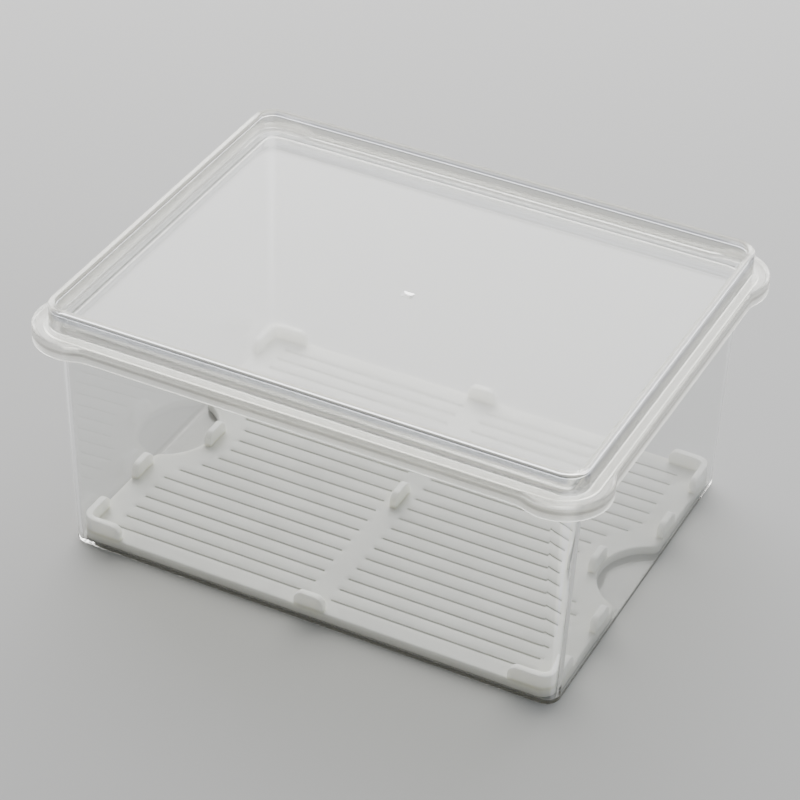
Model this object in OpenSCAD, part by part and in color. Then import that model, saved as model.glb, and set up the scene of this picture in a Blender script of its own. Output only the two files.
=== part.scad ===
// Rectangular food bin with a lift-off lid and a lift-out drain tray.
// X runs along the length, Y along the width, and Z up from the face that the bin stands on.
// The origin is the middle of that face. All sizes are in millimetres.

/* [Bin] */
// Length of the bin at its base, outside
bin_len = 283.7; // [220:0.1:360]
// Width of the bin at its base, outside
bin_wid = 218.2; // [170:0.1:280]
// Height from the base to the top of the rim
bin_h = 138.7; // [90:0.1:200]
// Thickness of the bin's walls, floor and rim
wall = 2.4; // [1.6:0.1:3.2]
// Outward lean of the walls, in degrees
draft = 1.7; // [0.5:0.1:3]
// Radius of the upright corners at the base, outside
corner_r = 8; // [6:0.5:16]
// Radius of the edge round the base, outside
base_r = 2.5; // [1:0.1:4]
// Radius where the walls meet the floor, inside
floor_r = 1; // [0.5:0.1:1.2]
// How far the rim stands out past the top of the wall
rim_out = 8.3; // [6:0.1:12]

/* [Lid] */
// Thickness of the lid
lid_t = 2; // [1.4:0.1:2.6]
// Gap between the edge of the rim and the inside of the skirt
lid_gap = 0.5; // [0.3:0.1:1.5]
// Depth of the skirt, from the top of the ledge
skirt_h = 9; // [6:0.5:14]
// Width of the flat ledge between the skirt and the ridge
ledge_w = 6.8; // [4:0.1:8]
// Height of the ridge above the panel inside it
ridge_h = 12.5; // [8:0.5:18]
// Width of the ridge at its crest
crest_w = 3.5; // [2.8:0.1:4.5]
// Width of the hollow inside the ridge, at its top
hollow_w = 0.8; // [0.4:0.1:1.5]
// Radius of the ridge's corners, outside
ridge_r = 12; // [11:0.5:20]
// Clearance round the base of another bin that stands inside the ridge
stack_gap = 0.3; // [0.2:0.1:1]
// How far the rounded lobe at each corner stands out past the skirt
lobe_out = 3.4; // [1:0.1:6]
// Radius of the lobes
lobe_r = 25.5; // [18:0.5:32]
// Radius that blends a lobe into the straight skirt
lobe_blend = 12; // [6:1:20]
// Width of the moulding dimple in the middle of the panel
dimple_w = 5; // [3:0.5:8]
// Depth of the moulding dimple
dimple_d = 0.6; // [0.2:0.1:1]

/* [Drain tray] */
// Gap between the tray and the foot of the bin's walls
tray_gap = 1.4; // [1.3:0.1:4]
// Height of the tray's deck above the bin's floor
tray_h = 5.1; // [3.5:0.1:12]
// Thickness of the deck and the skirt under it
tray_t = 1.6; // [1.2:0.1:2.4]
// Radius of the tray's corners
tray_r = 8; // [5:0.5:14]
// Plain border at each end of the deck, and round each finger notch
end_border = 15.2; // [10:0.1:20]
// Plain border along each side of the deck, at least
side_border = 11; // [8:0.1:20]
// Width of the plain bar across the middle of the deck
bar_w = 14; // [8:0.5:24]
// Width of a drain slot
slot_w = 1.4; // [1:0.1:3]
// Distance from one drain slot to the next
slot_pitch = 9.8; // [6:0.1:16]

/* [Finger notches] */
// Radius of the arc of a finger notch
notch_r = 30; // [20:1:36]
// Depth of a finger notch from the tray's edge
notch_depth = 20; // [12:0.5:26]
// Radius that blends a finger notch into the tray's edge
notch_blend = 6; // [3:0.5:10]

/* [Tabs] */
// Height of the tabs above the deck
tab_h = 8.5; // [4:0.5:14]
// Length of a straight tab
tab_len = 17; // [10:0.5:24]
// Length of each leg of a corner tab
leg_len = 24; // [16:0.5:34]
// Thickness of the tabs
tab_t = 4; // [2:0.1:5]
// Radius of the tabs' upper corners
tab_round = 5; // [2:0.5:6]
// Distance from the end of a finger notch to the tab beside it
tab_from_notch = 4; // [2:0.5:10]

/* [Hidden] */
$fn = 96;
arc_steps = 6;
lap = 0.4;
clear_plastic = [0.82, 0.87, 0.88, 0.45];
white_plastic = [0.93, 0.93, 0.91];

// Bin: centres of its corners, lean and half sizes
lean = tan(draft);
corner_x = bin_len / 2 - corner_r;
corner_y = bin_wid / 2 - corner_r;
wall_top_r = corner_r + lean * bin_h;
rim_r = wall_top_r + rim_out;

// Lid: half sizes of its skirt and ridge, outside
panel_z = bin_h + lid_t;
lid_x = corner_x + rim_r + lid_gap + lid_t;
lid_y = corner_y + rim_r + lid_gap + lid_t;
ridge_x = lid_x - ledge_w;
ridge_y = lid_y - ledge_w;
lobe_x = lid_x + lobe_out - lobe_r;
lobe_y = lid_y + lobe_out - lobe_r;
skirt_r = lobe_r - lobe_out;
// The ridge's inner side slopes, so that another bin's base drops in with stack_gap all round
ridge_past_base = ridge_x - bin_len / 2 - lean * base_r - stack_gap;
foot_w = (ridge_past_base - base_r * crest_w / ridge_h) / (1 - base_r / ridge_h);
slope = (foot_w - crest_w) / ridge_h;
slope_t = lid_t * sqrt(1 + slope * slope) - lid_t * slope;
hollow_h = min(ridge_h, (foot_w - slope_t - lid_t - hollow_w) / slope);

// Tray: half sizes and the finger notch's place
tray_x = bin_len / 2 - wall - tray_gap;
tray_y = bin_wid / 2 - wall - tray_gap;
deck_z = wall + tray_h;
notch_x = tray_x + notch_r - notch_depth;
blend_y = sqrt(pow(notch_r + notch_blend, 2) - pow(notch_r - notch_depth + notch_blend, 2));
slot_rows = floor((2 * tray_y - 2 * side_border) / slot_pitch) + 1;
tab_y = blend_y + tab_from_notch + tab_len / 2;

// ---- Shared shapes ----

// A rectangle with rounded corners, given by its half sizes
module rounded(half_x, half_y, r) {
    union() {
        square([2 * (half_x - r), 2 * half_y], center = true);
        square([2 * half_x, 2 * (half_y - r)], center = true);
        for (sx = [-1, 1], sy = [-1, 1])
            translate([sx * (half_x - r), sy * (half_y - r)])
                circle(r);
    }
}

// Carries a section round a rectangle. The section's x is measured outwards from the rectangle
// whose half sizes are half_x and half_y, and its y is the height.
module carried_round(half_x, half_y) {
    corners = [[half_x, half_y], [-half_x, half_y], [-half_x, -half_y], [half_x, -half_y]];
    for (i = [0:3])
        translate(corners[i])
            rotate(90 * i)
                rotate_extrude(angle = 90)
                    children();
    for (turn = [0, 180])
        rotate(turn) {
            translate([half_x, half_y, 0])
                rotate([90, 0, 0])
                    linear_extrude(2 * half_y)
                        children();
            translate([-half_x, half_y, 0])
                rotate([90, 0, 90])
                    linear_extrude(2 * half_x)
                        children();
        }
}

// Points of an arc about a centre, from one angle to another
function arc(centre, r, from, to) =
    [for (i = [0:arc_steps]) let (a = from + (to - from) * i / arc_steps) centre + r * [cos(a), sin(a)]];

// ---- Bin ----

// Section of the bin from the middle of a corner outwards: floor, leaning wall and rim
module bin_section() {
    polygon(concat(
        [[0, 0]],
        arc([corner_r - base_r, base_r], base_r, -90, 0),
        [
            [wall_top_r - lean * wall, bin_h - wall],
            [rim_r, bin_h - wall],
            [rim_r, bin_h],
            [wall_top_r - wall, bin_h]
        ],
        arc([corner_r - wall - floor_r, wall + floor_r], floor_r, 0, -90),
        [[0, wall]]
    ));
}

module bin() {
    color(clear_plastic)
        union() {
            carried_round(corner_x, corner_y)
                bin_section();
            translate([-corner_x, -corner_y, 0])
                cube([2 * corner_x, 2 * corner_y, wall]);
        }
}

// ---- Lid ----

// Fillets between a straight side of the skirt and the lobes at its ends.
// side is the half size across the side, and end is the lobe's place along it.
module lobe_blends(side, end, inset) {
    f = lobe_blend + inset;
    out = side + lobe_blend;
    along = sqrt(pow(lobe_r + lobe_blend, 2) - pow(skirt_r + lobe_blend, 2));
    reach = (lobe_r - inset - lap) / (lobe_r + lobe_blend);
    touch = [end - along * reach, side - skirt_r + (skirt_r + lobe_blend) * reach];
    for (sx = [-1, 1], sy = [-1, 1])
        scale([sx, sy])
            difference() {
                polygon([
                    [end - along, side - inset - lap],
                    [end - along, out],
                    touch,
                    [touch.x, side - inset - lap]
                ]);
                translate([end - along, out])
                    circle(f);
            }
}

// Outline of the lid, drawn in by inset
module lid_outline(inset) {
    union() {
        rounded(lid_x - inset, lid_y - inset, skirt_r - inset);
        for (sx = [-1, 1], sy = [-1, 1])
            translate([sx * lobe_x, sy * lobe_y])
                circle(lobe_r - inset);
        lobe_blends(lid_y, lobe_x, inset);
        rotate(90)
            lobe_blends(lid_x, lobe_y, inset);
    }
}

// Section of the lid from the middle of a corner outwards: panel and hollow ridge
module ridge_section() {
    foot = ridge_r - foot_w;
    polygon([
        [0, bin_h],
        [foot + slope_t, bin_h],
        [foot + slope_t + slope * hollow_h, bin_h + hollow_h],
        [ridge_r - lid_t, bin_h + hollow_h],
        [ridge_r - lid_t, bin_h],
        [ridge_r, bin_h],
        [ridge_r, panel_z + ridge_h],
        [ridge_r - crest_w, panel_z + ridge_h],
        [foot, panel_z],
        [0, panel_z]
    ]);
}

module lid() {
    dimple_r = (pow(dimple_w / 2, 2) + pow(dimple_d, 2)) / (2 * dimple_d);
    color(clear_plastic)
        difference() {
            union() {
                carried_round(ridge_x - ridge_r, ridge_y - ridge_r)
                    ridge_section();
                translate([ridge_r - ridge_x, ridge_r - ridge_y, bin_h])
                    cube([2 * (ridge_x - ridge_r), 2 * (ridge_y - ridge_r), lid_t]);
                translate([0, 0, bin_h])
                    linear_extrude(lid_t)
                        difference() {
                            lid_outline(0);
                            rounded(ridge_x - lid_t / 2, ridge_y - lid_t / 2, ridge_r - lid_t / 2);
                        }
                translate([0, 0, panel_z - skirt_h])
                    linear_extrude(skirt_h)
                        difference() {
                            lid_outline(0);
                            lid_outline(lid_t);
                        }
            }
            translate([0, 0, panel_z + dimple_r - dimple_d])
                sphere(dimple_r);
        }
}

// ---- Drain tray ----

// What a finger notch takes out of the tray's +X edge: an arc blended into the edge
module notch(grow) {
    union() {
        translate([notch_x, 0])
            circle(notch_r + grow);
        for (sy = [-1, 1])
            scale([1, sy])
                notch_corner(grow);
    }
}

// The blend between the arc and the edge. grow widens the notch by that much all round.
module notch_corner(grow) {
    f = notch_blend - grow;
    centre = [tray_x - notch_blend, blend_y];
    reach = notch_r / (notch_r + notch_blend);
    touch = [notch_x, 0] + reach * (centre - [notch_x, 0]);
    difference() {
        polygon([
            [notch_x, 0],
            touch,
            centre,
            [tray_x - grow, blend_y],
            [notch_x, blend_y]
        ]);
        translate(centre)
            circle(f);
    }
}

// Outline of the tray, drawn in by inset
module tray_outline(inset) {
    difference() {
        rounded(tray_x - inset, tray_y - inset, tray_r - inset);
        for (turn = [0, 180])
            rotate(turn)
                notch(inset);
    }
}

// One drain slot between two places along X
module slot(from, to) {
    union() {
        translate([from + slot_w / 2, -slot_w / 2])
            square([to - from - slot_w, slot_w]);
        for (x = [from + slot_w / 2, to - slot_w / 2])
            translate([x, 0])
                circle(d = slot_w, $fn = 24);
    }
}

// Where the slot in a row stops short of the tray's end or of the notch there
function slot_end(y) =
    let (hole = notch_r + end_border, near = hole > abs(y) ? notch_x - sqrt(hole * hole - y * y) : tray_x)
    min(tray_x - end_border, near);

// Every drain slot: rows on each half of the deck
module slots() {
    for (row = [0:slot_rows - 1], turn = [0, 180])
        let (y = (row - (slot_rows - 1) / 2) * slot_pitch)
            rotate(turn)
                translate([0, y])
                    slot(bar_w / 2, slot_end(y));
}

// A straight tab with its upper corners rounded, standing on the deck along X
module tab(length) {
    translate([0, tab_t / 2, 0])
        rotate([90, 0, 0])
            linear_extrude(tab_t)
                union() {
                    translate([-length / 2, -lap])
                        square([length, tab_h - tab_round + lap]);
                    translate([tab_round - length / 2, 0])
                        square([length - 2 * tab_round, tab_h]);
                    for (x = [tab_round - length / 2, length / 2 - tab_round])
                        translate([x, tab_h - tab_round])
                            circle(tab_round);
                }
}

// One leg of a corner tab, running back along X from the start of the tray's rounded corner
module leg() {
    run = leg_len - tab_round;
    translate([tray_x - tray_r, tray_y, 0])
        rotate([90, 0, 0])
            linear_extrude(tab_t)
                union() {
                    translate([tray_r - leg_len, -lap])
                        square([leg_len - tray_r, tab_h - tab_round + lap]);
                    translate([tray_r - run, 0])
                        square([run - tray_r, tab_h]);
                    translate([tray_r - run, tab_h - tab_round])
                        circle(tab_round);
                }
}

// Corner tab at +X +Y: two legs joined round the tray's corner
module corner_tab() {
    union() {
        leg();
        mirror([1, -1, 0])
            translate([tray_y - tray_x, tray_x - tray_y, 0])
                leg();
        translate([tray_x - tray_r, tray_y - tray_r, -lap])
            rotate_extrude(angle = 90)
                translate([tray_r - tab_t, 0])
                    square([tab_t, tab_h + lap]);
    }
}

// All the tabs: at the corners, beside and behind each notch, and along the middle bar
module tabs() {
    for (sx = [-1, 1], sy = [-1, 1])
        scale([sx, sy, 1])
            corner_tab();
    for (sx = [-1, 1], y = [-tab_y, tab_y])
        translate([sx * (tray_x - tab_t / 2), y, 0])
            rotate(90)
                tab(tab_len);
    for (sx = [-1, 1])
        translate([sx * (tray_x - notch_depth - tab_t / 2 - lap), 0, 0])
            rotate(90)
                tab(tab_len);
    rotate(90)
        tab(tab_len);
    for (sy = [-1, 1])
        translate([0, sy * (tray_y - tab_t / 2), 0])
            tab(tab_len);
}

module drain_tray() {
    color(white_plastic)
        union() {
            // Deck with its drain slots
            translate([0, 0, deck_z - tray_t])
                linear_extrude(tray_t)
                    difference() {
                        tray_outline(0);
                        slots();
                    }
            // Skirt that the tray stands on
            translate([0, 0, wall])
                linear_extrude(tray_h)
                    difference() {
                        tray_outline(0);
                        tray_outline(tray_t);
                    }
            translate([0, 0, deck_z])
                tabs();
        }
}

bin();
lid();
drain_tray();
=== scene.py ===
import math

import bmesh
import bpy
from mathutils import Matrix, Vector


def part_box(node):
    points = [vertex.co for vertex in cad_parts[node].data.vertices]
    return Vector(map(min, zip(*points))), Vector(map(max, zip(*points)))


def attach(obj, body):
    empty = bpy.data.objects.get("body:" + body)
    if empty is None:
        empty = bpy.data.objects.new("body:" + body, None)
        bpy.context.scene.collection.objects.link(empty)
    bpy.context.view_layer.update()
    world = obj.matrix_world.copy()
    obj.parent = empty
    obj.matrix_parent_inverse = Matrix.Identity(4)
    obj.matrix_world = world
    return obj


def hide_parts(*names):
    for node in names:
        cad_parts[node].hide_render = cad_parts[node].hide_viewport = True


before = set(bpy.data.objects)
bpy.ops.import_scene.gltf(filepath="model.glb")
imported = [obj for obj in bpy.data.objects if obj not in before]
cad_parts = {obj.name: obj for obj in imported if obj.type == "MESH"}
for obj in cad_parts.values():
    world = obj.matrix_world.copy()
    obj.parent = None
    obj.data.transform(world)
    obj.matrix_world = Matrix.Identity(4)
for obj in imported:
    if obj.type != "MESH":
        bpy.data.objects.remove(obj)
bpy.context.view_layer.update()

# Sizes are in millimetres up to shell(), which turns them into metres.
MM = 0.001
BIN_LOW, BIN_HIGH = (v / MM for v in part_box("bin"))
LID_LOW, LID_HIGH = (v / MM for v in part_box("lid"))
TRAY_LOW, TRAY_HIGH = (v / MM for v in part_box("drain_tray"))

# Bin
WALL = 2.4
LEAN = math.tan(math.radians(1.7))
CORNER_R = 8.0
RIM_OUT = 8.3
RIM_R = CORNER_R + LEAN * BIN_HIGH.z + RIM_OUT
BIN_CENTRE = (BIN_HIGH.x - RIM_R, BIN_HIGH.y - RIM_R)
FLOOR_IN = 5.0
BASE_FILLET = 2.5
FLOOR_FILLET = 1.2
RIM_ROOT_FILLET = 1.0
RIM_FILLET = 0.9

# Lid
LID_T = 2.0
LOBE_OUT = 3.4
LOBE_R = 25.5
LOBE_BLEND = 12.0
LEDGE_W = 6.8
RIDGE_H = 12.5
CREST_W = 3.5
RIDGE_R = 12.0
FOOT_W = 8.8
HOLLOW_W = 0.8
SKIRT_R = LOBE_R - LOBE_OUT
PANEL_Z = LID_HIGH.z - RIDGE_H
LOBE_CENTRE = (LID_HIGH.x - LOBE_R, LID_HIGH.y - LOBE_R)
RIDGE_IN = LOBE_OUT + LEDGE_W + RIDGE_R
RIDGE_CENTRE = (LID_HIGH.x - RIDGE_IN, LID_HIGH.y - RIDGE_IN)
DIMPLE_R = 4.0
DIMPLE_D = 0.95
DIMPLE_RINGS = 8
DIMPLE_EDGE = 0.4
PAST_FOOT = 2.0
FOOT_FILLET = 1.5
CREST_IN_FILLET = 1.2
CREST_OUT_FILLET = 1.3
LEDGE_FILLET = 0.8
SKIRT_FILLET = 1.2
SKIRT_END_FILLET = 0.8
HOLLOW_FILLET = 0.5
HOLLOW_TOP_FILLET = 0.35
HOLLOW_FOOT_FILLET = 1.0
LEDGE_IN = 3.0
PAST_HOLLOW = 1.5

# Drain tray
TRAY_T = 1.6
TRAY_R = 8.0
TAB_H = 8.5
TAB_T = 4.0
TAB_LEN = 17.0
TAB_ROUND = 5.0
LEG_LEN = 24.0
NOTCH_R = 30.0
NOTCH_DEPTH = 20.0
NOTCH_BLEND = 6.0
TAB_FROM_NOTCH = 4.0
NOTCH_TAB_GAP = 0.4
TAB_FILLET = 0.7
DECK_FILLET = 1.0
DECK_IN_FILLET = 0.4
LEG_FILLET = 0.3
DECK_IN = 3.0
SLOT_W = 1.4
SLOT_PITCH = 9.8
SLOT_ROWS = 20
SLAT_CROWN = 0.45
SLAT_SHOULDER = 3.7
SLAT_STEPS = 6
CUT_PAST = 1.0
SLOT_SEED = 0.01
BAR_W = 14.0
END_BORDER = 15.2
TRAY_X, TRAY_Y = TRAY_HIGH.x, TRAY_HIGH.y
DECK_Z = TRAY_HIGH.z - TAB_H
NOTCH_X = TRAY_X + NOTCH_R - NOTCH_DEPTH
BLEND_Y = math.sqrt(
    (NOTCH_R + NOTCH_BLEND) ** 2 - (NOTCH_R - NOTCH_DEPTH + NOTCH_BLEND) ** 2
)

# Air left between pieces that rest on each other, so that their surfaces don't lie in one place
SEAT = 0.05

# Steps of the arcs
FILLET_STEPS = 8
CORNER_STEPS = 20
BLEND_STEPS = 6
NOTCH_STEPS = 16
NOTCH_BLEND_STEPS = 8
TRAY_CORNER_STEPS = 12
TAB_END_STEPS = 10
SLOT_END_STEPS = 8

# Points closer together than this, in metres, are made one
MERGE = 1e-7


# ---- Shared mesh code ----

def arc(cx, cy, r, start, end, steps):
    """Points of an arc, in degrees, both ends included."""
    angles = (math.radians(start + (end - start) * i / steps) for i in range(steps + 1))
    return [(cx + r * math.cos(a), cy + r * math.sin(a)) for a in angles]


def filleted(path):
    """A section drawn through (x, z, fillet radius) points, with each bend made an arc."""
    points = [path[0][:2]]
    for before, here, after in zip(path, path[1:], path[2:]):
        corner = Vector(here[:2])
        if here[2] <= 0:
            points.append(tuple(corner))
            continue
        back = (Vector(before[:2]) - corner).normalized()
        on = (Vector(after[:2]) - corner).normalized()
        half = math.acos(max(-1, min(1, back.dot(on)))) / 2
        centre = corner + (back + on).normalized() * here[2] / math.sin(half)
        first = corner + back * here[2] / math.tan(half) - centre
        last = corner + on * here[2] / math.tan(half) - centre
        turn = math.copysign(math.pi - 2 * half, first.x * last.y - first.y * last.x)
        for i in range(FILLET_STEPS + 1):
            a = turn * i / FILLET_STEPS
            points.append((
                centre.x + first.x * math.cos(a) - first.y * math.sin(a),
                centre.y + first.x * math.sin(a) + first.y * math.cos(a),
            ))
    return points + [path[-1][:2]]


def around(centre, corner, z):
    """One ring: a corner's points, placed at each corner of a rectangle."""
    ring = []
    for side_x, side_y, c, s in ((1, 1, 1, 0), (-1, 1, 0, 1), (-1, -1, -1, 0), (1, -1, 0, -1)):
        for x, y in corner:
            ring.append((side_x * centre[0] + c * x - s * y, side_y * centre[1] + s * x + c * y, z))
    return ring


def outward(mesh):
    """Merges the doubles of a closed mesh and turns its faces outwards."""
    bm = bmesh.new()
    bm.from_mesh(mesh)
    bmesh.ops.remove_doubles(bm, verts=bm.verts, dist=MERGE)
    bmesh.ops.recalc_face_normals(bm, faces=bm.faces)
    if bm.calc_volume(signed=True) < 0:
        bmesh.ops.reverse_faces(bm, faces=bm.faces)
    bm.to_mesh(mesh)
    bm.free()


def shell(name, rings):
    """A closed solid through rings of equally many points, with a face over the first and last."""
    n = len(rings[0])
    vertices = [[v * MM for v in p] for ring in rings for p in ring]
    faces = [
        (i * n + j, i * n + (j + 1) % n, (i + 1) * n + (j + 1) % n, (i + 1) * n + j)
        for i in range(len(rings) - 1)
        for j in range(n)
    ]
    faces += [tuple(range(n))[::-1], tuple(range(len(vertices) - n, len(vertices)))]
    mesh = bpy.data.meshes.new(name)
    mesh.from_pydata(vertices, [], faces)
    outward(mesh)
    piece = bpy.data.objects.new(name, mesh)
    bpy.context.scene.collection.objects.link(piece)
    return piece


def applied(piece):
    """Makes a piece's live modifiers part of its mesh."""
    graph = bpy.context.evaluated_depsgraph_get()
    mesh = bpy.data.meshes.new_from_object(piece.evaluated_get(graph))
    old = piece.data
    piece.modifiers.clear()
    piece.data = mesh
    bpy.data.meshes.remove(old)
    return piece


def smoothed(piece, angle=40):
    """Smooth shading that keeps the flat faces flat up to their fillets."""
    for face in piece.data.polygons:
        face.use_smooth = True
    bm = bmesh.new()
    bm.from_mesh(piece.data)
    limit = math.radians(angle)
    for edge in bm.edges:
        edge.smooth = not edge.is_manifold or edge.calc_face_angle(0) < limit
    bm.to_mesh(piece.data)
    bm.free()
    weighted = piece.modifiers.new("weighted", "WEIGHTED_NORMAL")
    weighted.mode = "FACE_AREA"
    weighted.weight = 100
    weighted.keep_sharp = True
    return applied(piece)


# ---- Shared node code ----

class Nodes:
    """A short way to write a node tree. A value is a plain one or another node's output."""

    def __init__(self, tree):
        self.tree = tree

    def socket(self, name, kind, way="INPUT"):
        return self.tree.interface.new_socket(name, in_out=way, socket_type=kind)

    def fill(self, node, inputs):
        for key, value in inputs.items():
            if isinstance(value, bpy.types.NodeSocket):
                self.tree.links.new(value, node.inputs[key])
            else:
                node.inputs[key].default_value = value

    def node(self, kind, inputs=None, **settings):
        node = self.tree.nodes.new(kind)
        for key, value in settings.items():
            setattr(node, key, value)
        self.fill(node, inputs or {})
        return node

    def math(self, operation, a, b=0.0):
        return self.node("ShaderNodeMath", {0: a, 1: b}, operation=operation).outputs[0]

    def ramp(self, value, low, high):
        """A smooth step of a value from 0 at low to 1 at high."""
        inputs = {"Value": value, "From Min": low, "From Max": high}
        step = self.node("ShaderNodeMapRange", inputs, interpolation_type="SMOOTHSTEP")
        return step.outputs["Result"]

    def level(self, mask, first, second):
        """A number that goes from first to second with a mask."""
        return self.node("ShaderNodeMix", {"Factor": mask, 2: first, 3: second}).outputs[0]

    def blend(self, mask, first, second):
        """A colour that goes from first to second with a mask."""
        inputs = {"Factor": mask, 6: first, 7: second}
        return self.node("ShaderNodeMix", inputs, data_type="RGBA").outputs[2]

    def zone(self, group, **sizes):
        """One use of the moulding zones group with its own sizes, in millimetres."""
        inputs = {label.replace("_", " "): size * MM for label, size in sizes.items()}
        return self.node("ShaderNodeGroup", inputs, node_tree=group).outputs


# ---- Bin ----

def make_bin():
    """The bin: up its outside, over its rim, down its inside and across its floor."""
    rim_low = BIN_HIGH.z - WALL
    section = filleted([
        (CORNER_R - FLOOR_IN, 0, 0),
        (CORNER_R, 0, BASE_FILLET),
        (CORNER_R + LEAN * rim_low, rim_low, RIM_ROOT_FILLET),
        (RIM_R, rim_low, RIM_FILLET),
        (RIM_R, BIN_HIGH.z, RIM_FILLET),
        (CORNER_R + LEAN * BIN_HIGH.z - WALL, BIN_HIGH.z, RIM_FILLET),
        (CORNER_R - WALL, WALL, FLOOR_FILLET),
        (CORNER_R - FLOOR_IN, WALL, 0),
    ])
    rings = [around(BIN_CENTRE, arc(0, 0, r, 0, 90, CORNER_STEPS), z) for r, z in section]
    return smoothed(shell("storage_bin", rings))


# ---- Lid ----

LOBE_ALONG = math.sqrt((LOBE_R + LOBE_BLEND) ** 2 - (SKIRT_R + LOBE_BLEND) ** 2)
LOBE_TURN = math.degrees(math.atan2(LOBE_ALONG, SKIRT_R + LOBE_BLEND))


def lobed_corner(inset):
    """A corner of the lid's outline: blend, lobe and blend, drawn in by inset."""
    out = SKIRT_R + LOBE_BLEND
    blend = LOBE_BLEND + inset
    return (
        arc(out, -LOBE_ALONG, blend, 180, 180 - LOBE_TURN, BLEND_STEPS)[:-1]
        + arc(0, 0, LOBE_R - inset, -LOBE_TURN, 90 + LOBE_TURN, CORNER_STEPS)
        + arc(-LOBE_ALONG, out, blend, LOBE_TURN - 90, -90, BLEND_STEPS)[1:]
    )


def ridge_corner(r):
    """A corner of the ridge, with as many points as a lobed one."""
    run = [LOBE_ALONG * (1 - i / BLEND_STEPS) for i in range(BLEND_STEPS)]
    return (
        [(r, -along) for along in run]
        + arc(0, 0, r, 0, 90, CORNER_STEPS)
        + [(-along, r) for along in reversed(run)]
    )


def towards(ring, r, z):
    """A round ring in the middle of the panel, whose points face those of another ring."""
    return [(r * x / math.hypot(x, y), r * y / math.hypot(x, y), z) for x, y, _ in ring]


def dimple(ring):
    """Rings of the gate mark, a round dimple in the middle of the panel."""
    rings = []
    for i in range(1, DIMPLE_RINGS + 1):
        share = i / DIMPLE_RINGS
        rings.append(towards(ring, DIMPLE_R * share, PANEL_Z - DIMPLE_D * (1 - share * share)))
    rings.append(towards(ring, DIMPLE_R + DIMPLE_EDGE, PANEL_Z))
    return rings


def make_lid():
    """The lid: out over its ridge and ledge, down its skirt, and back in under the hollow ridge."""
    under = PANEL_Z - LID_T + SEAT
    foot = RIDGE_R - FOOT_W
    slope = (FOOT_W - CREST_W) / RIDGE_H
    inner_foot = foot + LID_T * (math.sqrt(1 + slope * slope) - slope)
    hollow_out = RIDGE_R - LID_T
    hollow_in = hollow_out - HOLLOW_W
    hollow_top = under + (hollow_in - inner_foot) / slope
    over = filleted([
        (foot - PAST_FOOT, PANEL_Z, 0),
        (foot, PANEL_Z, FOOT_FILLET),
        (RIDGE_R - CREST_W, LID_HIGH.z, CREST_IN_FILLET),
        (RIDGE_R, LID_HIGH.z, CREST_OUT_FILLET),
        (RIDGE_R, PANEL_Z, LEDGE_FILLET),
        (RIDGE_R + PAST_FOOT, PANEL_Z, 0),
    ])
    skirt = filleted([
        (LEDGE_IN, PANEL_Z, 0),
        (0, PANEL_Z, SKIRT_FILLET),
        (0, LID_LOW.z, SKIRT_END_FILLET),
        (LID_T, LID_LOW.z, SKIRT_END_FILLET),
        (LID_T, under, HOLLOW_FILLET),
        (LID_T + PAST_HOLLOW, under, 0),
    ])
    hollow = filleted([
        (hollow_out + PAST_HOLLOW, under, 0),
        (hollow_out, under, HOLLOW_FILLET),
        (hollow_out, hollow_top, HOLLOW_TOP_FILLET),
        (hollow_in, hollow_top, HOLLOW_TOP_FILLET),
        (inner_foot, under, HOLLOW_FOOT_FILLET),
        (inner_foot - PAST_HOLLOW, under, 0),
    ])
    ridge = [around(RIDGE_CENTRE, ridge_corner(r), z) for r, z in over]
    rings = dimple(ridge[0]) + ridge
    rings += [around(LOBE_CENTRE, lobed_corner(inset), z) for inset, z in skirt]
    rings += [around(RIDGE_CENTRE, ridge_corner(r), z) for r, z in hollow]
    return smoothed(shell("clear_lid", rings))


# ---- Drain tray ----

def tray_ring(inset, z):
    """The tray's outline with its two finger notches, drawn in by inset."""
    reach = math.degrees(math.atan2(BLEND_Y, NOTCH_X - TRAY_X + NOTCH_BLEND))
    quarter = (
        arc(NOTCH_X, 0, NOTCH_R + inset, 180, 180 - reach, NOTCH_STEPS)[:-1]
        + arc(TRAY_X - NOTCH_BLEND, BLEND_Y, NOTCH_BLEND - inset, -reach, 0, NOTCH_BLEND_STEPS)
        + arc(TRAY_X - TRAY_R, TRAY_Y - TRAY_R, TRAY_R - inset, 0, 90, TRAY_CORNER_STEPS)
    )
    left = [(-x, y) for x, y in reversed(quarter)]
    half = quarter + left[:-1]
    return [(x, y, z) for x, y in half + [(-x, -y) for x, y in half]]


def make_deck():
    """The tray's deck and the skirt that it stands on."""
    bottom = TRAY_LOW.z + SEAT
    section = filleted([
        (DECK_IN, DECK_Z, 0),
        (0, DECK_Z, DECK_FILLET),
        (0, bottom, LEG_FILLET),
        (TRAY_T, bottom, LEG_FILLET),
        (TRAY_T, DECK_Z - TRAY_T, DECK_IN_FILLET),
        (DECK_IN, DECK_Z - TRAY_T, 0),
    ])
    return shell("drain_tray_moulding", [tray_ring(inset, z) for inset, z in section])


def tab_mesh(name, stations):
    """A tab with two rounded ends, which stands on the deck along stations (x, y, facing)."""
    lengths = [0]
    for a, b in zip(stations, stations[1:]):
        lengths.append(lengths[-1] + math.dist(a[:2], b[:2]))
    root = DECK_Z - TRAY_T / 2
    rings = []
    for (x, y, facing), run in zip(stations, lengths):
        past = TAB_ROUND - min(run, lengths[-1] - run, TAB_ROUND)
        top = DECK_Z + TAB_H - TAB_ROUND + math.sqrt(max(TAB_ROUND ** 2 - past ** 2, 0))
        section = filleted([
            (-TAB_T / 2, root, 0),
            (-TAB_T / 2, top, TAB_FILLET),
            (TAB_T / 2, top, TAB_FILLET),
            (TAB_T / 2, root, 0),
        ])
        c, s = math.cos(facing), math.sin(facing)
        rings.append([(x + c * across, y + s * across, z) for across, z in section])
    return shell(name, rings)


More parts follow.
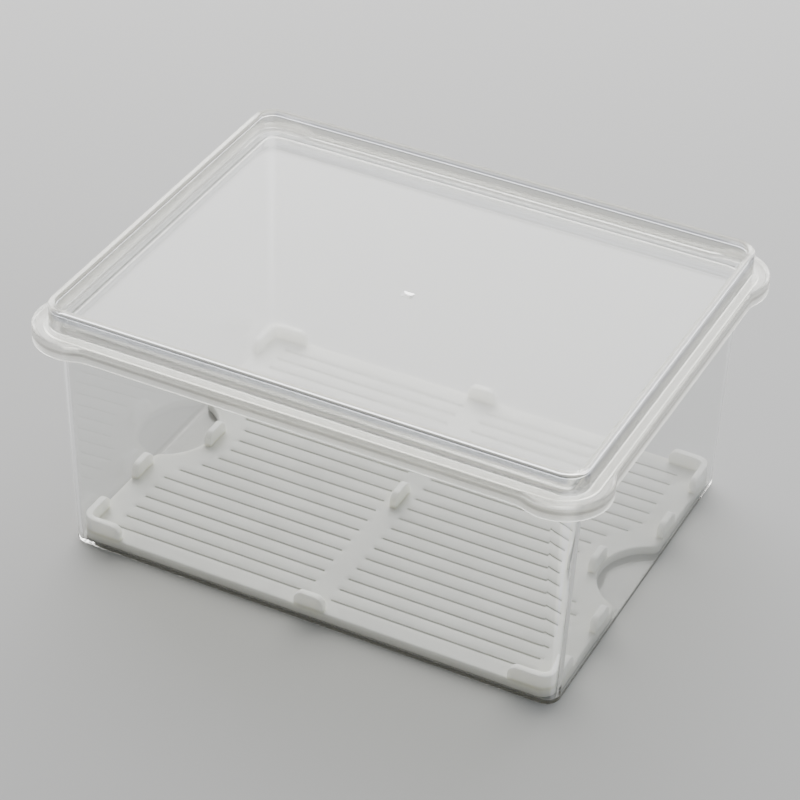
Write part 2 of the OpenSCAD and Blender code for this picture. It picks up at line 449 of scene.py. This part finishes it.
def rounded_end(reach):
    """Places along a tab over its rounding, up to its end at reach."""
    turns = (math.radians(90 * i / TAB_END_STEPS) for i in range(TAB_END_STEPS + 1))
    return [reach - TAB_ROUND * (1 - math.sin(a)) for a in turns]


def straight_tab(name, x, y, turned):
    """A tab along X, or along Y when turned."""
    end = rounded_end(TAB_LEN / 2)
    places = [-along for along in reversed(end)] + end
    tab = tab_mesh(name, [(along, 0, math.pi / 2) for along in places])
    turn = Matrix.Rotation(math.pi / 2 if turned else 0, 4, "Z")
    tab.data.transform(Matrix.Translation((x * MM, y * MM, 0)) @ turn)
    return tab


def corner_tab(name, side_x, side_y):
    """Two legs joined round a corner of the tray."""
    r = TRAY_R - TAB_T / 2
    end = rounded_end(LEG_LEN - TRAY_R)
    stations = [(r, -along, 0.0) for along in reversed(end)]
    for i in range(TRAY_CORNER_STEPS + 1):
        a = math.radians(90 * i / TRAY_CORNER_STEPS)
        stations.append((r * math.cos(a), r * math.sin(a), a))
    stations += [(-along, r, math.pi / 2) for along in end]
    tab = tab_mesh(name, [
        (TRAY_X - TRAY_R + x, TRAY_Y - TRAY_R + y, facing) for x, y, facing in stations
    ])
    tab.data.transform(Matrix.Diagonal((side_x, side_y, 1, 1)))
    outward(tab.data)
    return tab


def make_tabs():
    """Four tabs at the corners, four beside the notches, three along the middle and two at the bar's
    ends."""
    edge_x = TRAY_X - TAB_T / 2
    edge_y = TRAY_Y - TAB_T / 2
    beside = BLEND_Y + TAB_FROM_NOTCH + TAB_LEN / 2
    behind = TRAY_X - NOTCH_DEPTH - TAB_T / 2 - NOTCH_TAB_GAP
    sides = [(side_x, side_y) for side_x in (-1, 1) for side_y in (-1, 1)]
    tabs = [corner_tab("corner_tab", *side) for side in sides]
    tabs += [straight_tab("side_tab", x * edge_x, y * beside, True) for x, y in sides]
    tabs += [straight_tab("notch_tab", x, 0, True) for x in (-behind, 0, behind)]
    tabs += [straight_tab("bar_tab", 0, y, False) for y in (-edge_y, edge_y)]
    return tabs


def slot_cutter():
    """One unit slot, whose two round ends the slot tree pulls apart along X. Its shoulders crown the
    slats on either side."""
    half = SLOT_W / 2
    section = [(half, DECK_Z - TRAY_T - CUT_PAST)]
    for i in range(SLAT_STEPS + 1):
        share = i / SLAT_STEPS
        section.append((half + SLAT_SHOULDER * share, DECK_Z - SLAT_CROWN * (1 - share) ** 2))
    section.append((half + SLAT_SHOULDER, DECK_Z + CUT_PAST))
    rings = []
    for r, z in section:
        far = arc(SLOT_SEED, 0, r, -90, 90, SLOT_END_STEPS)
        near = arc(-SLOT_SEED, 0, r, 90, 270, SLOT_END_STEPS)
        rings.append([(x, y, z) for x, y in far + near])
    cutter = shell("slot_cutter", rings)
    marks = cutter.data.attributes.new("far_end", "FLOAT", "POINT")
    marks.data.foreach_set("value", [float(v.co.x > 0) for v in cutter.data.vertices])
    return cutter


def slot_tree(material):
    """Cuts rows of drain slots on both halves of a deck, each stopping short of the finger notch."""
    t = Nodes(bpy.data.node_groups.new("drain_slots", "GeometryNodeTree"))
    t.socket("Deck", "NodeSocketGeometry")
    t.socket("Cutter", "NodeSocketObject")
    t.socket("Rows", "NodeSocketInt")
    for name in ("Pitch", "Bar", "End", "Notch X", "Notch R", "Slot R"):
        t.socket(name, "NodeSocketFloat")
    t.socket("Material", "NodeSocketMaterial")
    t.socket("Tray", "NodeSocketGeometry", "OUTPUT")
    group = t.node("NodeGroupInput").outputs

    span = t.math("MULTIPLY", t.math("SUBTRACT", group["Rows"], 1.0), group["Pitch"])
    start = t.node("ShaderNodeCombineXYZ", {"Y": t.math("MULTIPLY", span, -0.5)}).outputs[0]
    step = t.node("ShaderNodeCombineXYZ", {"Y": group["Pitch"]}).outputs[0]
    line = t.node("GeometryNodeMeshLine", {
        "Count": group["Rows"], "Start Location": start, "Offset": step,
    }).outputs[0]
    cutter = t.node("GeometryNodeObjectInfo", {"Object": group["Cutter"]}).outputs["Geometry"]
    placed = t.node("GeometryNodeInstanceOnPoints", {"Points": line, "Instance": cutter}).outputs[0]
    loose = t.node("GeometryNodeRealizeInstances", {"Geometry": placed}).outputs[0]

    # The row that a point belongs to gives where its far end stops
    place = t.node("GeometryNodeInputPosition").outputs[0]
    here = t.node("ShaderNodeSeparateXYZ", {0: place}).outputs
    row = t.math("ROUND", t.math("ADD", t.math("DIVIDE", here["Y"], group["Pitch"]), 0.5))
    y = t.math("MULTIPLY", t.math("SUBTRACT", row, 0.5), group["Pitch"])
    reach = t.math("MULTIPLY", group["Notch R"], group["Notch R"])
    across = t.math("MAXIMUM", t.math("SUBTRACT", reach, t.math("MULTIPLY", y, y)), 0.0)
    notch = t.math("SUBTRACT", group["Notch X"], t.math("SQRT", across))
    far = t.math("MINIMUM", group["End"], notch)
    near = t.math("ADD", group["Bar"], group["Slot R"])
    length = t.math("SUBTRACT", t.math("SUBTRACT", far, group["Slot R"]), near)
    at_end = t.node("GeometryNodeInputNamedAttribute", {"Name": "far_end"}, data_type="FLOAT")
    pulled = t.math("ADD", near, t.math("MULTIPLY", at_end.outputs["Attribute"], length))
    shift = t.node("ShaderNodeCombineXYZ", {"X": pulled}).outputs[0]
    right = t.node("GeometryNodeSetPosition", {"Geometry": loose, "Offset": shift}).outputs[0]
    left = t.node("GeometryNodeTransform", {"Geometry": right, "Rotation": (0, 0, math.pi)}).outputs[0]

    both = t.node("GeometryNodeJoinGeometry")
    t.tree.links.new(right, both.inputs[0])
    t.tree.links.new(left, both.inputs[0])
    cut = t.node(
        "GeometryNodeMeshBoolean", {"Mesh 1": group["Deck"], "Mesh 2": both.outputs[0]},
        operation="DIFFERENCE", solver="EXACT",
    ).outputs["Mesh"]
    whole = t.node("GeometryNodeRealizeInstances", {"Geometry": cut}).outputs[0]
    painted = t.node("GeometryNodeSetMaterial", {"Geometry": whole, "Material": group["Material"]})
    t.node("NodeGroupOutput", {0: painted.outputs[0]})
    return t.tree


def set_inputs(modifier, values):
    """Sets a node tree's inputs on its modifier by their identifiers."""
    for item in modifier.node_group.interface.items_tree:
        if item.item_type == "SOCKET" and item.in_out == "INPUT" and item.name in values:
            modifier[item.identifier] = values[item.name]


def make_tray(material):
    """The drain tray: its deck and tabs joined, and then its slots cut."""
    tray = make_deck()
    tabs = make_tabs()
    for tab in tabs:
        joined = tray.modifiers.new("tab", "BOOLEAN")
        joined.operation = "UNION"
        joined.solver = "EXACT"
        joined.object = tab
    applied(tray)
    for tab in tabs:
        bpy.data.objects.remove(tab)
    cutter = slot_cutter()
    slots = tray.modifiers.new("slots", "NODES")
    slots.node_group = slot_tree(material)
    set_inputs(slots, {
        "Cutter": cutter,
        "Rows": SLOT_ROWS,
        "Pitch": SLOT_PITCH * MM,
        "Bar": BAR_W / 2 * MM,
        "End": (TRAY_X - END_BORDER) * MM,
        "Notch X": NOTCH_X * MM,
        "Notch R": (NOTCH_R + END_BORDER) * MM,
        "Slot R": SLOT_W / 2 * MM,
        "Material": material,
    })
    applied(tray)
    bpy.data.objects.remove(cutter)
    return smoothed(tray)


# ---- Materials ----

# Moulded faces: ripple and grain sizes in metres, lowest and highest roughness, and the grain's share
BIN_FACE = {
    "Ripple Size": 0.05, "Grain Size": 0.004, "Smoothest": 0.0, "Roughest": 0.03, "Grain": 0.02,
}
LID_FACE = {
    "Ripple Size": 0.05, "Grain Size": 0.004, "Smoothest": 0.03, "Roughest": 0.07, "Grain": 0.02,
}
TRAY_FACE = {
    "Ripple Size": 0.02, "Grain Size": 0.0008, "Smoothest": 0.35, "Roughest": 0.5, "Grain": 0.5,
}
# Strength and depth of their bumps
CLEAR_BUMP = (0.04, 0.001)
TRAY_BUMP = (0.1, 0.0003)

# Clear plastic, and the colours of the light that goes straight through it. The base, ridge, under-crest
# and skirt-line colours are painted shade, and the ridge's is also a painted warm reflection
PLASTIC_IOR = 1.45
CLEAR_WALL = (0.96, 0.966, 0.962, 1)
# Painted shade: the bin's base is tinted darker than its walls
CLEAR_BASE_SHADE = (0.9, 0.9, 0.885, 1)
CLEAR_PANEL = (0.962, 0.968, 0.966, 1)
# Painted shade and a painted warm reflection: the ridge is tinted darker and cream
RIDGE_SHADE_AND_REFLECTION = (0.82, 0.817, 0.79, 1)
# Painted shade: a dark cool band under the lid's crest
UNDER_CREST_SHADE = (0.42, 0.44, 0.52, 1)
# Painted shade: a dark line round the skirt above its lip
SKIRT_SHADE_LINE = (0.45, 0.44, 0.41, 1)
PASSED = (0.89, 0.89, 0.875, 1)
# Painted shadow: lamp light through the bin's base is darkened, deepening the shadow at its foot
PASSED_BASE_SHADOW = (0.74, 0.74, 0.73, 1)
LEDGE_ROUGHNESS = 0.26
RIDGE_ROUGHNESS = 0.15

# Painted light: glow colours that make edges and faces look lit, though no lamp is there
NO_GLOW = (0, 0, 0, 1)
# Painted highlight on the bin's upright corners
CORNER_PAINTED_HIGHLIGHT = (0.12, 0.122, 0.127, 1)
# Painted highlight along the lid's crest
CREST_PAINTED_HIGHLIGHT = (0.3, 0.29, 0.255, 1)
# Painted light on the lid's ledge and skirt
SKIRT_PAINTED_LIGHT = (0.06, 0.058, 0.05, 1)
# Painted highlight along the lid's lip
LIP_PAINTED_HIGHLIGHT = (0.12, 0.12, 0.118, 1)
# Painted light on the tray's tabs
TAB_PAINTED_LIGHT = (0.08, 0.08, 0.074, 1)
# Painted light on the tray's skirt, under the deck
TRAY_SKIRT_PAINTED_LIGHT = (0.1, 0.1, 0.091, 1)

# White plastic, with a lighter white on the tabs as painted light
DECK_WHITE = (0.965, 0.958, 0.79, 1)
# Painted light: the tabs are given a lighter white than the deck
TAB_WHITE_PAINTED_LIGHT = (0.985, 0.985, 0.91, 1)
MILK_REACH = (1, 0.98, 0.92)
MILK_DEPTH = 0.008

# A ray that bends or is mirrored this often inside the clear plastic goes straight on, so that no edge
# turns black. Only a share of such rays goes on through the bin's base, whose edge stays a dark line.
DEEPEST_RAY = 7.5
DEEPEST_MIRROR = 2.5
BASE_FREED = 0.15


def shader_group(name, inputs, outputs):
    """A shader node group whose sockets are all numbers."""
    n = Nodes(bpy.data.node_groups.new(name, "ShaderNodeTree"))
    for label, default in inputs.items():
        n.socket(label, "NodeSocketFloat").default_value = default
    for label in outputs:
        n.socket(label, "NodeSocketFloat", "OUTPUT")
    return n


def moulded_surface():
    """The faint waviness and uneven gloss of a moulded plastic face."""
    n = shader_group("moulded_surface", BIN_FACE, ["Roughness", "Height"])
    given = n.node("NodeGroupInput").outputs
    place = n.node("ShaderNodeTexCoord").outputs["Object"]

    def noise(size, detail):
        scale = n.math("DIVIDE", 1.0, size)
        inputs = {"Vector": place, "Scale": scale, "Detail": detail}
        return n.node("ShaderNodeTexNoise", inputs).outputs["Fac"]

    ripple = noise(given["Ripple Size"], 1.0)
    grain = noise(given["Grain Size"], 3.0)
    gloss = n.node("ShaderNodeMapRange", {
        "Value": ripple, "From Min": 0.3, "From Max": 0.7,
        "To Min": given["Smoothest"], "To Max": given["Roughest"],
    })
    heights = {0: grain, 1: given["Grain"], 2: ripple}
    height = n.node("ShaderNodeMath", heights, operation="MULTIPLY_ADD")
    n.node("NodeGroupOutput", {"Roughness": gloss.outputs["Result"], "Height": height.outputs[0]})
    return n.tree


def moulding_zones():
    """Masks of a rectangular moulding: past a rectangle, on its four upright corners, and above a height.
    With High under Low, the last one is below the height instead."""
    n = shader_group(
        "moulding_zones",
        {"Half X": 0.1, "Half Y": 0.1, "Past": 0.001, "Corner": 0.001, "Low": 0.0, "High": 0.001},
        ["Border", "Corners", "Above"],
    )
    given = n.node("NodeGroupInput").outputs
    place = n.node("ShaderNodeTexCoord").outputs["Object"]
    here = n.node("ShaderNodeSeparateXYZ", {0: place}).outputs
    beyond = []
    for axis in "XY":
        size = n.math("ABSOLUTE", here[axis])
        beyond.append(n.math("SUBTRACT", size, given["Half " + axis]))
    near = n.math("MULTIPLY", given["Corner"], 0.8)
    n.node("NodeGroupOutput", {
        "Border": n.ramp(n.math("MAXIMUM", *beyond), 0.0, given["Past"]),
        "Corners": n.ramp(n.math("MINIMUM", *beyond), near, given["Corner"]),
        "Above": n.ramp(here["Z"], given["Low"], given["High"]),
    })
    return n.tree


def start_material(name, surface, face, bump):
    """A Principled material whose roughness and bump come from the moulded surface group."""
    material = bpy.data.materials.new(name)
    material.use_nodes = True
    n = Nodes(material.node_tree)
    moulded = n.node("ShaderNodeGroup", face, node_tree=surface).outputs
    strength, distance = bump
    raised = n.node("ShaderNodeBump", {
        "Strength": strength, "Distance": distance, "Height": moulded["Height"],
    })
    shader = n.tree.nodes["Principled BSDF"]
    n.fill(shader, {"Roughness": moulded["Roughness"], "Normal": raised.outputs["Normal"]})
    return material, n, shader, moulded


def make_clear(n, shader, passed, freed=1.0):
    """Makes a material clear. The lamps' light goes straight through it in the colour passed, and so does
    the share freed of the rays that are caught inside."""
    n.fill(shader, {"Transmission Weight": 1, "IOR": PLASTIC_IOR})
    path = n.node("ShaderNodeLightPath").outputs
    lamp = n.math("MAXIMUM", path["Is Shadow Ray"], path["Is Diffuse Ray"])
    deep = n.math("GREATER_THAN", path["Ray Depth"], DEEPEST_RAY)
    mirrored = n.math("GREATER_THAN", path["Glossy Depth"], DEEPEST_MIRROR)
    caught = n.math("MULTIPLY", n.math("MAXIMUM", deep, mirrored), freed)
    through = n.node("ShaderNodeBsdfTransparent", {"Color": passed}).outputs[0]
    share = n.math("MAXIMUM", lamp, caught)
    mix = n.node("ShaderNodeMixShader", {0: share, 1: shader.outputs[0], 2: through})
    n.fill(n.tree.nodes["Material Output"], {"Surface": mix.outputs[0]})


def bin_plastic(surface, zones):
    """The bin's clear plastic, with painted highlights on its upright corners and painted shade at its
    base, which also darkens the lamp light that passes there.
    """
    material, n, shader, _ = start_material("clear_bin_plastic", surface, BIN_FACE, CLEAR_BUMP)
    half_x, half_y = BIN_CENTRE
    walls = n.zone(zones, Half_X=half_x, Half_Y=half_y, Corner=0.7 * CORNER_R, Low=3.0, High=6.0)
    # Painted highlight: the upright corners above the base glow
    edges = n.math("MULTIPLY", walls["Corners"], walls["Above"])
    n.fill(shader, {
        # Painted shade: a darker tint at the base, and darker lamp light through it
        "Base Color": n.blend(walls["Above"], CLEAR_BASE_SHADE, CLEAR_WALL),
        "Emission Color": n.blend(edges, NO_GLOW, CORNER_PAINTED_HIGHLIGHT),
        "Emission Strength": 1,
    })
    passed = n.blend(walls["Above"], PASSED_BASE_SHADOW, PASSED)
    make_clear(n, shader, passed, n.math("MAXIMUM", walls["Above"], BASE_FREED))
    return material


def lid_plastic(surface, zones):
    """The lid's clear plastic: a clear panel, a ridge tinted with painted shade and a painted warm
    reflection, a crest with a painted highlight over a cool band of painted shade, and a milky ledge and
    skirt with painted light, which end in a painted shade line and a painted highlight on the lip."""
    material, n, shader, moulded = start_material(
        "clear_lid_plastic", surface, LID_FACE, CLEAR_BUMP,
    )
    top = LID_HIGH.z
    end = LID_LOW.z
    panel_x, panel_y = (LID_HIGH[i] - LOBE_OUT - LEDGE_W - CREST_W for i in (0, 1))
    border = n.zone(
        zones, Half_X=panel_x, Half_Y=panel_y, Past=0.6, Low=top - 1.6, High=top - 0.8,
    )
    outer = n.zone(
        zones, Half_X=panel_x + 2, Half_Y=panel_y + 2, Past=1.0, Low=top - 6.5, High=top - 4.5,
    )
    skirt = n.zone(zones, Low=PANEL_Z - 0.8, High=PANEL_Z - 2.5)
    # Painted shade: masks of a dark line round the skirt, above the lip
    shade_line_start = n.zone(zones, Low=end + 5.6, High=end + 5.0)
    shade_line_end = n.zone(zones, Low=end + 4.4, High=end + 3.8)
    lip = n.zone(zones, Low=end + 3.0, High=end + 2.3)
    # Painted shade: the band just under the crest is coloured dark and cool
    crest_shade_band = n.math("MULTIPLY", outer["Border"], outer["Above"])
    line = n.math("SUBTRACT", shade_line_start["Above"], shade_line_end["Above"])

    milky = n.level(outer["Above"], LEDGE_ROUGHNESS, RIDGE_ROUGHNESS)
    # Painted shade and a painted warm reflection tint the ridge border
    colour = n.blend(border["Border"], CLEAR_PANEL, RIDGE_SHADE_AND_REFLECTION)
    colour = n.blend(crest_shade_band, colour, UNDER_CREST_SHADE)
    # Painted light: the crest, the skirt and the lip glow, and the skirt's shade line does not
    painted_glow = n.blend(border["Above"], NO_GLOW, CREST_PAINTED_HIGHLIGHT)
    # Painted light on the skirt, below the panel
    painted_glow = n.blend(skirt["Above"], painted_glow, SKIRT_PAINTED_LIGHT)
    painted_glow = n.blend(line, painted_glow, NO_GLOW)
    n.fill(shader, {
        "Roughness": n.level(border["Border"], moulded["Roughness"], milky),
        # Painted shade line on the skirt
        "Base Color": n.blend(line, colour, SKIRT_SHADE_LINE),
        # Painted highlight on the lip
        "Emission Color": n.blend(lip["Above"], painted_glow, LIP_PAINTED_HIGHLIGHT),
        "Emission Strength": 1,
    })
    make_clear(n, shader, PASSED)
    return material


def white_plastic(surface, zones):
    """Milky white plastic, with painted light on the tabs that stand up from the deck, which are also
    given a lighter white, and on the skirt under the deck.
    """
    material, n, shader, _ = start_material("white_plastic", surface, TRAY_FACE, TRAY_BUMP)
    # Mask for painted light on the tabs above the deck
    tabs = n.zone(zones, Low=DECK_Z + 0.3, High=DECK_Z + 2.0)["Above"]
    # Mask for painted light on the skirt below the deck
    skirt = n.zone(zones, Low=DECK_Z - 0.5, High=DECK_Z - 1.1)["Above"]
    n.fill(shader, {
        # Painted light: a lighter white on the tabs
        "Base Color": n.blend(tabs, DECK_WHITE, TAB_WHITE_PAINTED_LIGHT),
        # Painted light: the tabs and the tray's skirt glow
        "Emission Color": n.blend(skirt, n.blend(tabs, NO_GLOW, TAB_PAINTED_LIGHT), TRAY_SKIRT_PAINTED_LIGHT),
        "Emission Strength": 1,
        "Subsurface Weight": 1,
        "Subsurface Radius": MILK_REACH,
        "Subsurface Scale": MILK_DEPTH,
    })
    return material


# ---- Stage, light and camera ----

FLOOR_HALF = 6.0
FLOOR_DROP = 0.0002
FLOOR_GREY = (0.6, 0.6, 0.6, 1)

SKY = (0.98, 0.99, 1, 1)
SKY_STRENGTH = 0.23
# Each softbox: its name, place, aim, size, watts and colour
SOFTBOXES = (
    ("back_softbox", (-0.66, 1.4, 1.2), (0.05, 0.45, 0), (2.8, 1.5), 74, (1, 0.992, 0.978)),
    ("top_softbox", (-0.1, 0.6, 1.9), (0, 0.2, 0), (1.5, 1.5), 12, (1, 0.99, 0.975)),
    ("side_softbox", (1.8, 0.2, 1.0), (0, 0, 0.1), (1.2, 0.8), 7, (0.72, 0.86, 1)),
)

CAMERA_TURN = 25.79
CAMERA_LIFT = 35.69
CAMERA_ROLL = 1.91
CAMERA_LENS = 129.8
CAMERA_SENSOR = 36
CAMERA_REACH = 50
CAMERA_PLACE = (0.54052, -1.12336, 0.96894)


def make_stage():
    """A plain pale floor, a hair under the bin."""
    corners = [(-1, -1), (1, -1), (1, 1), (-1, 1)]
    mesh = bpy.data.meshes.new("floor")
    mesh.from_pydata([(x * FLOOR_HALF, y * FLOOR_HALF, 0) for x, y in corners], [], [(0, 1, 2, 3)])
    floor = bpy.data.objects.new("floor", mesh)
    floor.location.z = -FLOOR_DROP
    bpy.context.scene.collection.objects.link(floor)
    material = bpy.data.materials.new("pale_floor")
    material.use_nodes = True
    shader = material.node_tree.nodes["Principled BSDF"]
    shader.inputs["Base Color"].default_value = FLOOR_GREY
    shader.inputs["Roughness"].default_value = 0.9
    shader.inputs["Specular IOR Level"].default_value = 0.1
    mesh.materials.append(material)


def area_light(name, place, aim, size, watts, colour):
    data = bpy.data.lights.new(name, "AREA")
    data.shape = "RECTANGLE"
    data.size, data.size_y = size
    data.energy = watts
    data.color = colour
    light = bpy.data.objects.new(name, data)
    light.location = place
    light.rotation_euler = (Vector(aim) - Vector(place)).to_track_quat("-Z", "Y").to_euler()
    bpy.context.scene.collection.objects.link(light)


def make_light():
    world = bpy.data.worlds.new("studio")
    world.use_nodes = True
    sky = world.node_tree.nodes["Background"]
    sky.inputs["Color"].default_value = SKY
    sky.inputs["Strength"].default_value = SKY_STRENGTH
    bpy.context.scene.world = world
    for softbox in SOFTBOXES:
        area_light(*softbox)


def make_camera():
    turn, lift, roll = (math.radians(v) for v in (CAMERA_TURN, CAMERA_LIFT, CAMERA_ROLL))
    back = Vector((
        math.sin(turn) * math.cos(lift), -math.cos(turn) * math.cos(lift), math.sin(lift),
    ))
    right = Vector((0, 0, 1)).cross(back).normalized()
    up = back.cross(right)
    rolled_right = right * math.cos(roll) + up * math.sin(roll)
    rolled_up = up * math.cos(roll) - right * math.sin(roll)
    facing = Matrix((rolled_right, rolled_up, back)).transposed().to_4x4()
    data = bpy.data.cameras.new("camera")
    data.lens = CAMERA_LENS
    data.sensor_width = CAMERA_SENSOR
    data.clip_end = CAMERA_REACH
    camera = bpy.data.objects.new("camera", data)
    camera.matrix_world = Matrix.Translation(CAMERA_PLACE) @ facing
    bpy.context.scene.collection.objects.link(camera)
    bpy.context.scene.camera = camera


# ---- Scene ----

def main():
    surface = moulded_surface()
    zones = moulding_zones()
    clear_bin = bin_plastic(surface, zones)
    clear_lid = lid_plastic(surface, zones)
    white = white_plastic(surface, zones)
    for piece, body, slot, material in (
        (make_bin(), "bin", "clear_plastic", clear_bin),
        (make_lid(), "lid", "clear_plastic", clear_lid),
        (make_tray(white), "drain_tray", "white_plastic", white),
    ):
        piece.data.materials.clear()
        piece.data.materials.append(material)
        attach(piece, body)
        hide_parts(body)
    make_stage()
    make_light()
    make_camera()


main()
